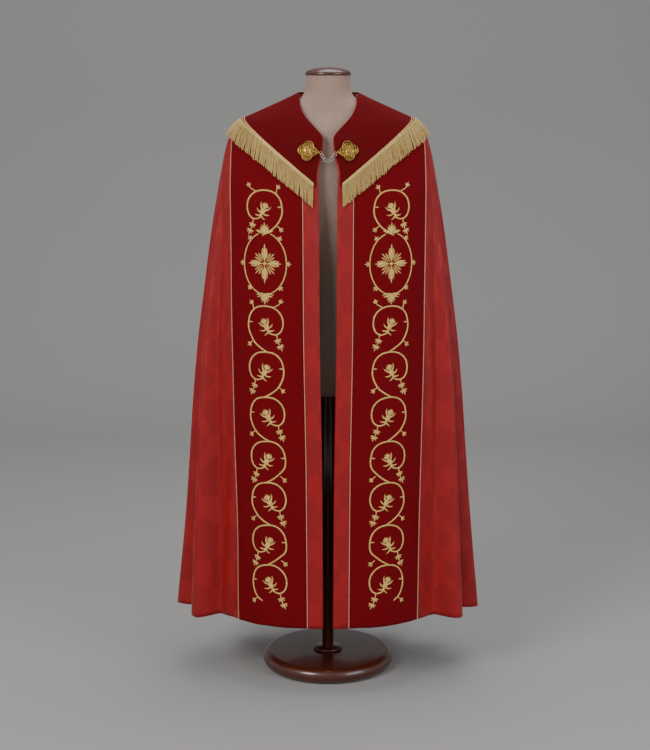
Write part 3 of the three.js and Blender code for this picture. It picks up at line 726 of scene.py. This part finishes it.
# Geometry Nodes: a round or twisted thread along guide lines
def threadTree(name, material):
    tree = bpy.data.node_groups.new(name, "GeometryNodeTree")
    tree.interface.new_socket("Guides", in_out="INPUT", socket_type="NodeSocketGeometry")
    radius = tree.interface.new_socket("Radius", in_out="INPUT", socket_type="NodeSocketFloat")
    helix = tree.interface.new_socket("Helix", in_out="INPUT", socket_type="NodeSocketFloat")
    lay = tree.interface.new_socket("Turns per metre", in_out="INPUT", socket_type="NodeSocketFloat")
    spacing = tree.interface.new_socket("Spacing", in_out="INPUT", socket_type="NodeSocketFloat")
    sides = tree.interface.new_socket("Sides", in_out="INPUT", socket_type="NodeSocketInt")
    tree.interface.new_socket("Threads", in_out="OUTPUT", socket_type="NodeSocketGeometry")
    nodes, link = tree.nodes, tree.links.new
    start, end = nodes.new("NodeGroupInput"), nodes.new("NodeGroupOutput")
    curve = nodes.new("GeometryNodeMeshToCurve")
    link(start.outputs["Guides"], curve.inputs["Mesh"])
    even = nodes.new("GeometryNodeResampleCurve")
    even.mode = "LENGTH"
    link(curve.outputs[0], even.inputs["Curve"])
    link(start.outputs["Spacing"], even.inputs["Length"])
    along = nodes.new("GeometryNodeSplineParameter")
    tangent = nodes.new("GeometryNodeInputTangent")
    normal = nodes.new("GeometryNodeInputNormal")

    def maths(operation, a, b):
        node = nodes.new("ShaderNodeMath")
        node.operation = operation
        for slot, item in zip(node.inputs, (a, b)):
            if isinstance(item, (int, float)):
                slot.default_value = item
            elif item is not None:
                link(item, slot)
        return node.outputs[0]

    def vector(operation, a, b, scale=None):
        node = nodes.new("ShaderNodeVectorMath")
        node.operation = operation
        link(a, node.inputs[0])
        if b is not None:
            link(b, node.inputs[1])
        if scale is not None:
            link(scale, node.inputs["Scale"])
        return node.outputs[0]

    joined = nodes.new("GeometryNodeJoinGeometry")
    for ply in range(2):
        turns = maths("MULTIPLY", along.outputs["Length"], start.outputs["Turns per metre"])
        phase = maths("ADD", maths("MULTIPLY", turns, 2 * math.pi), math.pi * ply)
        cosine, sine = maths("COSINE", phase, None), maths("SINE", phase, None)
        across = vector("CROSS_PRODUCT", tangent.outputs[0], normal.outputs[0])
        outward = vector("SCALE", normal.outputs[0], None, cosine)
        sideways = vector("SCALE", across, None, sine)
        offset = vector("SCALE", vector("ADD", outward, sideways), None, start.outputs["Helix"])
        moved = nodes.new("GeometryNodeSetPosition")
        link(even.outputs[0], moved.inputs["Geometry"])
        link(offset, moved.inputs["Offset"])
        link(moved.outputs[0], joined.inputs[0])
    circle = nodes.new("GeometryNodeCurvePrimitiveCircle")
    link(start.outputs["Sides"], circle.inputs["Resolution"])
    link(start.outputs["Radius"], circle.inputs["Radius"])
    skin = nodes.new("GeometryNodeCurveToMesh")
    skin.inputs["Fill Caps"].default_value = True
    link(joined.outputs[0], skin.inputs["Curve"])
    link(circle.outputs[0], skin.inputs["Profile Curve"])
    smooth = nodes.new("GeometryNodeSetShadeSmooth")
    link(skin.outputs[0], smooth.inputs["Geometry"])
    real = nodes.new("GeometryNodeRealizeInstances")
    link(smooth.outputs[0], real.inputs[0])
    paint = nodes.new("GeometryNodeSetMaterial")
    paint.inputs["Material"].default_value = material
    link(real.outputs[0], paint.inputs["Geometry"])
    link(paint.outputs[0], end.inputs[0])
    return tree, {"Radius": radius.identifier, "Helix": helix.identifier, "Turns per metre": lay.identifier,
                  "Spacing": spacing.identifier, "Sides": sides.identifier}


def threadPiece(name, lines, material, sizes):
    points, edges = [], []
    for line in lines:
        first = len(points)
        points.extend(tuple(p) for p in line)
        edges.extend((first + i, first + i + 1) for i in range(len(line) - 1))
    mesh = bpy.data.meshes.new(name + "Guide")
    mesh.from_pydata(points, edges, [])
    guide = bpy.data.objects.new(name + "Guide", mesh)
    bpy.context.scene.collection.objects.link(guide)
    tree, sockets = threadTree(name + "Tree", material)
    modifier = guide.modifiers.new("threads", "NODES")
    modifier.node_group = tree
    for key, value in sizes.items():
        modifier[sockets[key]] = value
    evaluated = guide.evaluated_get(bpy.context.evaluated_depsgraph_get())
    made = bpy.data.meshes.new_from_object(evaluated)
    made.name = name
    guide.modifiers.remove(modifier)
    bpy.data.objects.remove(guide)
    if not made.materials:
        made.materials.append(material)
    if "clothUv" not in made.uv_layers:
        layer = made.uv_layers.new(name="clothUv")
        co = np.empty(len(made.vertices) * 3)
        made.vertices.foreach_get("co", co)
        co = co.reshape(-1, 3)
        corner = np.empty(len(made.loops), dtype=np.int32)
        made.loops.foreach_get("vertex_index", corner)
        layer.data.foreach_set("uv", np.stack([co[:, 2], co[:, 0]], -1)[corner].ravel())
    piece = bpy.data.objects.new(name, made)
    bpy.context.scene.collection.objects.link(piece)
    return piece


# cords beside the orphreys
cordSizes = {"Radius": 0.00085, "Helix": 0.0007, "Turns per metre": 190.0, "Spacing": 0.0011, "Sides": 6}
for half in ("left", "right"):
    for edgeName, distance in (("inner", bandStart - 0.0018), ("outer", bandEnd + 0.0018)):
        zs = np.linspace(orphrey["topZ"] if edgeName == "inner" else 1.62, cope["hemZ"] + 0.002, 420)
        angle = angleAt(half, distance, zs)
        edge = angleAtX(readTable(frontEdge, zs, 1), zs) + 3.6
        angle = np.clip(angle, edge, 86) if half == "left" else np.clip(angle, 274, 360 - edge)
        line = clothOffset(angle, zs, 0.0017)
        cord = threadPiece(f"cordTwist_{half}_{edgeName}", [line], cordGold, cordSizes)
        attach(cord, "root")
        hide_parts(f"cord_{half}_{edgeName}")
print("cords laid")


# the hood
def hoodFrontEnd(z):
    share = (hood["shoulderZ"] - z) / (hood["shoulderZ"] - hood["cornerZ"])
    side = readTable(rings, hood["shoulderZ"], 1)
    x = side + (hood["cornerX"] - side) * np.clip(share, 0, 1)
    return np.where(z >= hood["shoulderZ"], 90, angleAtX(x, z))


def hoodBackEnd(z):
    share = np.clip((z - hood["tipZ"]) / (hood["shoulderZ"] - hood["tipZ"]), 0, 1)
    x = readTable(rings, hood["shoulderZ"], 1) * np.maximum(share ** 0.8, 0.05)
    return np.where(z >= hood["shoulderZ"], 90, 180 - angleAtX(x, z))


def hoodNeckEnd(z):
    below = np.clip((hood["claspTopZ"] - z) / (hood["claspTopZ"] - hood["cornerZ"]), 0, 1)
    high, low = hood["inset"]
    return angleAtX(readTable(frontEdge, z, 1) + high + (low - high) * below, z)


def edgeHeights(endAt, lowest, count):
    # heights at which the slanting edge has turned through even steps of angle
    zs = np.linspace(lowest, hood["shoulderZ"], 4000)
    at = endAt(zs)
    wanted = np.linspace(at[0], 90, count)[::-1]
    order = np.argsort(at)
    return np.interp(wanted, at[order], zs[order])


yokeZ = np.linspace(cope["neckZ"], hood["shoulderZ"], 22)
frontZ = np.concatenate([yokeZ, edgeHeights(hoodFrontEnd, hood["cornerZ"], 48)[1:]])
backZ = np.concatenate([yokeZ, edgeHeights(lambda z: 180 - hoodBackEnd(z), hood["tipZ"], 56)[1:]])


def hoodLift(angle, z):
    # the hood lies clear of the cope, with a slight ripple
    return hood["gap"] + hood["wall"] + 0.0004 * np.sin(np.radians(angle) * 9 + z * 21)


def hoodGrid(startAngles, endAngles, zs, columns):
    share = np.linspace(0, 1, columns)
    angles = startAngles[:, None] + (endAngles - startAngles)[:, None] * share[None, :]
    heights = np.broadcast_to(zs[:, None], angles.shape)
    lift = hoodLift(angles, heights)
    outer = clothOffset(angles, heights, lift)
    inner = clothOffset(angles, heights, lift - hood["wall"])
    uv = np.stack([outer[..., 0] * 1.1, heights], -1)
    return wallMesh(outer, inner, uv)


hoodBatch = Batch()
left = hoodGrid(hoodNeckEnd(frontZ), hoodFrontEnd(frontZ), frontZ, 46)
right = hoodGrid(360 - hoodFrontEnd(frontZ), 360 - hoodNeckEnd(frontZ), frontZ, 46)
back = hoodGrid(hoodBackEnd(backZ), 360 - hoodBackEnd(backZ), backZ, 90)
for points, faces, uv in (left, right, back):
    hoodBatch.add(points, faces, uv)
hoodCloth = hoodBatch.piece("hoodVelvetPiece", hoodVelvet)
print("hood made")

# the fringe: a braid along the hood's edge and hanging bullion strands
fringe = {
    "length": 0.055,
    "spacing": 0.0034,
    "seed": 11,
    "braidRows": 4,
    "strand": {"Radius": 0.00085, "Helix": 0.00062, "Turns per metre": 110.0, "Spacing": 0.0026, "Sides": 3},
    "braid": {"Radius": 0.0009, "Helix": 0.0006, "Turns per metre": 170.0, "Spacing": 0.0022, "Sides": 5},
}
edgeFront = edgeHeights(hoodFrontEnd, hood["cornerZ"], 160)
edgeBack = edgeHeights(lambda z: 180 - hoodBackEnd(z), hood["tipZ"], 220)
leftAngles = np.concatenate([hoodFrontEnd(edgeFront)[::-1], hoodBackEnd(edgeBack)[1:]])
leftHeights = np.concatenate([edgeFront[::-1], edgeBack[1:]])
edgeAngles = np.concatenate([leftAngles, 360 - leftAngles[::-1]])
edgeZ = np.concatenate([leftHeights, leftHeights[::-1]])
edgeLine = clothOffset(edgeAngles, edgeZ, hood["gap"] + 0.001)
edgeWalk = np.concatenate([[0], np.cumsum(np.linalg.norm(np.diff(edgeLine, axis=0), axis=-1))])


def hangDown(angle, z, length, lift, count=9):
    # a line of points that hangs down the cloth from a place on the edge
    fine = np.linspace(0, length * 1.02, 40)
    zs = z - fine
    line = clothOffset(np.full(40, angle), zs, lift)
    far = np.concatenate([[0], np.cumsum(np.linalg.norm(np.diff(line, axis=0), axis=-1))])
    wanted = np.linspace(0, length, count)
    return np.stack([np.interp(wanted, far, line[:, k]) for k in range(3)], -1)


rng = np.random.default_rng(fringe["seed"])
strands = []
for layer, lift in ((0, 0.0052), (1, 0.0075)):
    for place in np.arange(0.002 + layer * fringe["spacing"] / 2, edgeWalk[-1], fringe["spacing"]):
        at = place + rng.normal(0, 0.0004)
        angle = np.interp(at, edgeWalk, edgeAngles)
        z = np.interp(at, edgeWalk, edgeZ) + 0.004
        length = fringe["length"] + 0.004 + rng.normal(0, 0.0016)
        line = hangDown(angle, z, length, lift + rng.uniform(-0.0006, 0.0006))
        sway = rng.normal(0, 0.0016, 2)
        share = np.linspace(0, 1, len(line)) ** 2
        line[:, 0] += sway[0] * share + 0.0004 * np.sin(share * 9 + rng.uniform(0, 6))
        line[:, 1] += sway[1] * share * 0.5
        strands.append(line)
print(len(strands), "fringe strands")
strandPiece = threadPiece("fringeStrands", strands, fringeGold, fringe["strand"])
# the braid: rows of twisted cord that lie over the hood's edge
braidLines = []
for k in range(fringe["braidRows"]):
    up = 0.001 + k * 0.0024
    braidLines.append(clothOffset(edgeAngles, edgeZ + up, hood["gap"] + hood["wall"] + 0.0014))
braid = threadPiece("fringeBraid", braidLines, fringeGold, fringe["braid"])
print("fringe hung")


# the clasp
def nodeAxes(name):
    # the three main directions of a CAD piece, the thinnest last
    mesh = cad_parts[name].data
    co = np.empty(len(mesh.vertices) * 3)
    mesh.vertices.foreach_get("co", co)
    co = co.reshape(-1, 3)
    _, _, axes = np.linalg.svd(co - co.mean(0), full_matrices=False)
    return co.mean(0), axes


def ringMesh(batch, centre, u, v, radius, wire, around=40, section=10):
    n = np.cross(u, v)
    points, uvs, faces = [], [], []
    for i in range(around):
        a = 2 * math.pi * i / around
        out = u * math.cos(a) + v * math.sin(a)
        for k in range(section):
            b = 2 * math.pi * k / section
            points.append(centre + out * (radius + wire * math.cos(b)) + n * wire * math.sin(b))
            uvs.append((a * radius, b * wire))
    for i in range(around):
        for k in range(section):
            a, b = i * section + k, ((i + 1) % around) * section + k
            c, d = ((i + 1) % around) * section + (k + 1) % section, i * section + (k + 1) % section
            faces.append((a, b, c, d))
    batch.add(points, faces, uvs)


chain = {"links": 7, "radius": 0.0052, "wire": 0.0007}
for i in range(1, chain["links"] + 1):
    centre, axes = nodeAxes(f"chain_link_{i}")
    batch = Batch()
    ringMesh(batch, centre, axes[0], axes[1], chain["radius"], chain["wire"])
    made = batch.piece(f"chainRing_{i}", linkSteel)
    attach(made, "root")
    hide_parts(f"chain_link_{i}")

claspSizes = {"lobe": 0.0135, "reach": 0.013, "tip": 0.031, "eyeRadius": 0.0034, "eyeWire": 0.0007}


def wireLoop(batch, points, normal, radius, closed=True):
    # round wire along a flat run of points
    points = np.asarray(points, float)
    count = len(points)
    section = 6
    made, uvs = [], []
    for i in range(count):
        before = points[i - 1] if closed or i else points[i]
        after = points[(i + 1) % count] if closed or i < count - 1 else points[i]
        tangent = after - before
        tangent /= np.linalg.norm(tangent) + 1e-12
        side = np.cross(tangent, normal)
        for k in range(section):
            b = 2 * math.pi * k / section
            made.append(points[i] + side * radius * math.cos(b) + normal * radius * math.sin(b))
            uvs.append((i * 0.001, b * radius))
    faces = []
    for i in range(count if closed else count - 1):
        for k in range(section):
            j = (i + 1) % count
            m = (k + 1) % section
            faces.append((i * section + k, i * section + m, j * section + m, j * section + k))
    if not closed:
        faces.append(tuple(range(section)))
        faces.append(tuple(range((count - 1) * section, count * section))[::-1])
    batch.add(made, faces, uvs)


def domed(batch, centre, u, v, n, radius, height):
    rows, around = 5, 16
    points, uvs, faces = [], [], []
    for i in range(rows):
        a = math.pi / 2 * i / rows
        for k in range(around):
            b = 2 * math.pi * k / around
            out = (u * math.cos(b) + v * math.sin(b)) * radius * math.cos(a)
            points.append(centre + out + n * height * math.sin(a))
            uvs.append((a * radius, b * radius))
    points.append(centre + n * height)
    uvs.append((0, 0))
    for i in range(rows - 1):
        for k in range(around):
            a, b = i * around + k, i * around + (k + 1) % around
            faces.append((a, b, b + around, a + around))
    for k in range(around):
        faces.append(((rows - 1) * around + k, (rows - 1) * around + (k + 1) % around, rows * around))
    faces.append(tuple(range(around))[::-1])
    batch.add(points, faces, uvs)


for half in ("left", "right"):
    eyeCentre, _ = nodeAxes(f"clasp_eye_{half}")
    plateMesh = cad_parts[f"clasp_plate_{half}"].data
    _, axes = nodeAxes(f"clasp_plate_{half}")
    n = axes[2] if axes[2][1] < 0 else -axes[2]
    # the plate's long axis points at its eye
    co = np.empty(len(plateMesh.vertices) * 3)
    plateMesh.vertices.foreach_get("co", co)
    co = co.reshape(-1, 3)
    tipPoint = co[np.argmin(np.linalg.norm(co - eyeCentre, axis=1))]
    depth = (co - tipPoint) @ n
    tipPoint = tipPoint + n * (depth.max() + depth.min()) / 2
    u = eyeCentre - tipPoint
    u = u - n * (u @ n)
    u /= np.linalg.norm(u)
    v = np.cross(n, u)
    centre = tipPoint - u * claspSizes["tip"]
    at = lambda x, y, h=0.0: centre + u * x + v * y + n * h
    batch = Batch()
    lobe, reachOut = claspSizes["lobe"], claspSizes["reach"]
    # back plate: a thin sheet of three round lobes and a pointed tip
    outline = []
    span = 135 - math.degrees(math.acos(reachOut * math.sqrt(0.5) / lobe))
    for towards in (90, 180, 270):
        for a in np.radians(np.linspace(towards - span, towards + span, 24, endpoint=False)):
            outline.append((math.cos(math.radians(towards)) * reachOut + lobe * math.cos(a),
                            math.sin(math.radians(towards)) * reachOut + lobe * math.sin(a)))
    first = outline[0]
    bend = ((first[0] + claspSizes["tip"]) / 2, first[1] * 0.62)
    for side, order in ((-1, 1), (1, -1)):
        for t in np.linspace(0, 1, 12, endpoint=False)[::order]:
            t = t if order == 1 else t + 1 / 12
            x = (1 - t) ** 2 * first[0] + 2 * t * (1 - t) * bend[0] + t ** 2 * claspSizes["tip"]
            y = (1 - t) ** 2 * first[1] + 2 * t * (1 - t) * bend[1]
            outline.append((x, side * y))
    front = [at(x, y, 0.0002) for x, y in outline]
    rear = [at(x, y, -0.0012) for x, y in outline]
    count = len(outline)
    faces = [tuple(range(count)), tuple(range(count, 2 * count))[::-1]]
    faces += [(i, i + count, (i + 1) % count + count, (i + 1) % count) for i in range(count)]
    batch.add(front + rear, faces)
    wireLoop(batch, [at(x, y, 0.0009) for x, y in outline], n, 0.0011)
    wireLoop(batch, [at(x * 0.8, y * 0.8, 0.0009) for x, y in outline], n, 0.0006)
    # raised rings, scrolls and bosses on each lobe and in the middle
    for towards in (0, 90, 180, 270):
        far = reachOut * (1.0 if towards else 1.15)
        c = (math.cos(math.radians(towards)) * far, math.sin(math.radians(towards)) * far)
        ringMesh(batch, at(c[0], c[1], 0.001), u, v, 0.0066, 0.0007, 28, 6)
        domed(batch, at(c[0], c[1], 0.0004), u, v, n, 0.0032, 0.003)
        for k in range(8):
            a = 2 * math.pi * k / 8
            bead = at(c[0] + 0.0099 * math.cos(a), c[1] + 0.0099 * math.sin(a), 0.0004)
            domed(batch, bead, u, v, n, 0.0012, 0.0014)
        for hand in (1, -1):
            base = math.radians(towards + 45 * hand)
            spiral = []
            for t in np.linspace(0, 1, 22):
                a = base + hand * t * 5.2
                r = 0.0045 * (1 - t * 0.75)
                x = math.cos(base) * 0.0125 + r * math.cos(a)
                y = math.sin(base) * 0.0125 + r * math.sin(a)
                spiral.append(at(x, y, 0.0012))
            wireLoop(batch, spiral, n, 0.0006, closed=False)
    ringMesh(batch, at(0, 0, 0.0012), u, v, 0.0056, 0.0009, 32, 8)
    domed(batch, at(0, 0, 0.0006), u, v, n, 0.0046, 0.0042)
    plateMade = batch.piece(f"claspFiligree_{half}", claspGold)
    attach(plateMade, "root")
    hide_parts(f"clasp_plate_{half}")
    eyeBatch = Batch()
    across, upwards = np.array([1.0, 0, 0]), np.array([0, 0, 1.0])
    ringMesh(eyeBatch, eyeCentre, across, upwards, claspSizes["eyeRadius"], claspSizes["eyeWire"])
    eyeMade = eyeBatch.piece(f"claspRing_{half}", claspGold)
    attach(eyeMade, "root")
    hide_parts(f"clasp_eye_{half}")
print("clasp made")

# the dress form
# torso: z, half width, depth before and behind
formRings = np.array([
    (1.7107, 0.062, 0.062, 0.062), (1.674, 0.063, 0.062, 0.062), (1.655, 0.072, 0.062, 0.064),
    (1.640, 0.100, 0.063, 0.070), (1.620, 0.150, 0.066, 0.079), (1.600, 0.186, 0.073, 0.084), (1.580, 0.214, 0.084, 0.090),
    (1.550, 0.226, 0.096, 0.096), (1.500, 0.221, 0.108, 0.102), (1.440, 0.203, 0.116, 0.108),
    (1.370, 0.184, 0.120, 0.110), (1.280, 0.172, 0.114, 0.106), (1.150, 0.152, 0.101, 0.096),
    (1.050, 0.158, 0.103, 0.104), (0.950, 0.171, 0.109, 0.114), (0.870, 0.174, 0.108, 0.114),
    (0.836, 0.168, 0.102, 0.108), (0.820, 0.150, 0.088, 0.094),
])


def latheGrid(zs, sides, fronts, backs, steps):
    turn = np.linspace(0, 2 * math.pi, steps, endpoint=False)
    depth = np.where(np.cos(turn)[None, :] > 0, fronts[:, None], backs[:, None])
    heights = np.broadcast_to(zs[:, None], depth.shape)
    return np.stack([-sides[:, None] * np.sin(turn), -depth * np.cos(turn), heights], -1)


def closedTurn(name, grid, material, tops):
    rows, steps = grid.shape[:2]
    points = np.concatenate([grid.reshape(-1, 3), np.array([(0, 0, tops[0]), (0, 0, tops[1])])])
    faces = []
    for r in range(rows - 1):
        for c in range(steps):
            d = (c + 1) % steps
            faces.append((r * steps + c, r * steps + d, (r + 1) * steps + d, (r + 1) * steps + c))
    a, b = rows * steps, rows * steps + 1
    for c in range(steps):
        d = (c + 1) % steps
        faces.append((a, d, c))
        faces.append((b, (rows - 1) * steps + c, (rows - 1) * steps + d))
    uvs = np.stack([points[:, 0], points[:, 2]], -1)
    return meshPiece(name, points, faces, material, uvs)


neckTop, torsoEnd = formRings[0, 0], formRings[-1, 0]
zs = np.concatenate([
    np.linspace(neckTop, 1.55, 60),
    np.linspace(1.545, 0.836, 110),
    np.linspace(0.834, torsoEnd, 6),
])
torsoGrid = latheGrid(zs, *[readTable(formRings, zs, column) for column in (1, 2, 3)], 120)
torso = closedTurn("formTorso", torsoGrid, linen, (neckTop, torsoEnd))


def turnedPiece(name, profile, material, steps=128):
    profile = np.array(profile)
    grid = latheGrid(profile[:, 1], profile[:, 0], profile[:, 0], profile[:, 0], steps)
    return closedTurn(name, grid, material, (profile[0, 1], profile[-1, 1]))


rim = {"reach": 0.169, "round": 0.022}  # the base's rim is a half round
bull = [(rim["reach"] + rim["round"] * math.cos(a), rim["round"] + rim["round"] * math.sin(a))
        for a in np.linspace(math.pi / 2, -math.pi / 2, 24)]
base = turnedPiece("formBaseDisc", [(0.06, 0.044)] + bull + [(0.06, 0.0)], wood)
poleProfile = [
    (0.017, 0.8197), (0.042, 0.8197), (0.042, 0.8127), (0.040, 0.8117), (0.017, 0.8117),
    (0.017, 0.0523), (0.036, 0.0523), (0.0405, 0.0513), (0.042, 0.0493), (0.042, 0.0443),
]
pole = turnedPiece("formPoleTurned", poleProfile, wood, 64)
capTop = [(0.064 * math.cos(a), 1.716 + 0.018 * math.sin(a)) for a in np.linspace(math.pi / 2 * 0.96, 0, 20)]
cap = turnedPiece("formCapTurned", capTop + [(0.064, 1.7125), (0.0625, 1.711)], wood)
for piece, node, slotName in ((torso, "form_torso", "linen"), (base, "form_base", "wood"),
                              (pole, "form_pole", "wood"), (cap, "form_cap", "wood")):
    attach(piece, "root")
    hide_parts(node)
print("dress form made")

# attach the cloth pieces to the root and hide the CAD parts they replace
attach(copeCloth, "root")
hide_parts("front_left", "front_right", "back")
for half, band in zip(("left", "right"), orphreys):
    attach(band, "root")
    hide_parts(f"orphrey_{half}")
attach(hoodCloth, "root")
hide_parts("hood_front_left", "hood_front_right", "hood_back")
for piece in (strandPiece, braid):
    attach(piece, "root")
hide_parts("fringe")

# floor, light and camera
floor = {"size": 14, "rise": 3.2, "bend": 1.6, "behind": 3.0}
curve = []
for t in np.linspace(-6, floor["behind"], 8):
    curve.append((t, 0.0))
for a in np.linspace(0, math.pi / 2, 16)[1:]:
    curve.append((floor["behind"] + floor["bend"] * math.sin(a), floor["bend"] * (1 - math.cos(a))))
curve.append((floor["behind"] + floor["bend"], 6.0))
points, faces = [], []
for y, z in curve:
    points += [(-floor["size"] / 2, y, z), (floor["size"] / 2, y, z)]
for i in range(len(curve) - 1):
    faces.append((2 * i, 2 * i + 1, 2 * i + 3, 2 * i + 2))
studio = Finish("studioFloor", roughness=0.9, specular=0.1)
patches = studio.noise(studio.coords(), 0.4)
studio.feed("Base Color", studio.mix(patches, srgb(160, 159, 158), srgb(168, 166, 163)))
ground = meshPiece("studioGround", points, faces, studio.material)


def areaLight(name, place, target, size, power, colour):
    data = bpy.data.lights.new(name, "AREA")
    data.shape = "RECTANGLE"
    data.size, data.size_y = size
    data.energy = power
    data.color = colour
    lamp = bpy.data.objects.new(name, data)
    bpy.context.scene.collection.objects.link(lamp)
    lamp.location = place
    lamp.rotation_euler = (Vector(target) - Vector(place)).to_track_quat("-Z", "Y").to_euler()
    return lamp


areaLight("keyLight", (-2.6, -3.4, 3.2), (0, 0, 1.0), (1.8, 1.8), 130, (1, 0.98, 0.95))
areaLight("fillLight", (3.2, -2.8, 2.2), (0, 0, 1.0), (2.4, 2.4), 70, (0.96, 0.98, 1))
areaLight("topLight", (0.3, 0.6, 4.2), (0, 0.2, 1.0), (2.5, 2.5), 60, (1, 1, 1))
world = bpy.data.worlds.new("studioWorld")
world.use_nodes = True
world.node_tree.nodes["Background"].inputs["Color"].default_value = (0.78, 0.8, 0.84, 1)
world.node_tree.nodes["Background"].inputs["Strength"].default_value = 0.55
bpy.context.scene.world = world

view = {"lens": 76.6, "sensor": 36, "place": (-0.0085, -4.5, 1.711), "tilt": 79.37}
cameraData = bpy.data.cameras.new("camera")
cameraData.sensor_fit = "VERTICAL"
cameraData.sensor_height = view["sensor"]
cameraData.lens = view["lens"]
camera = bpy.data.objects.new("camera", cameraData)
camera.location = view["place"]
camera.rotation_euler = (math.radians(view["tilt"]), 0, 0)
bpy.context.scene.collection.objects.link(camera)
bpy.context.scene.camera = camera
print("stage set")
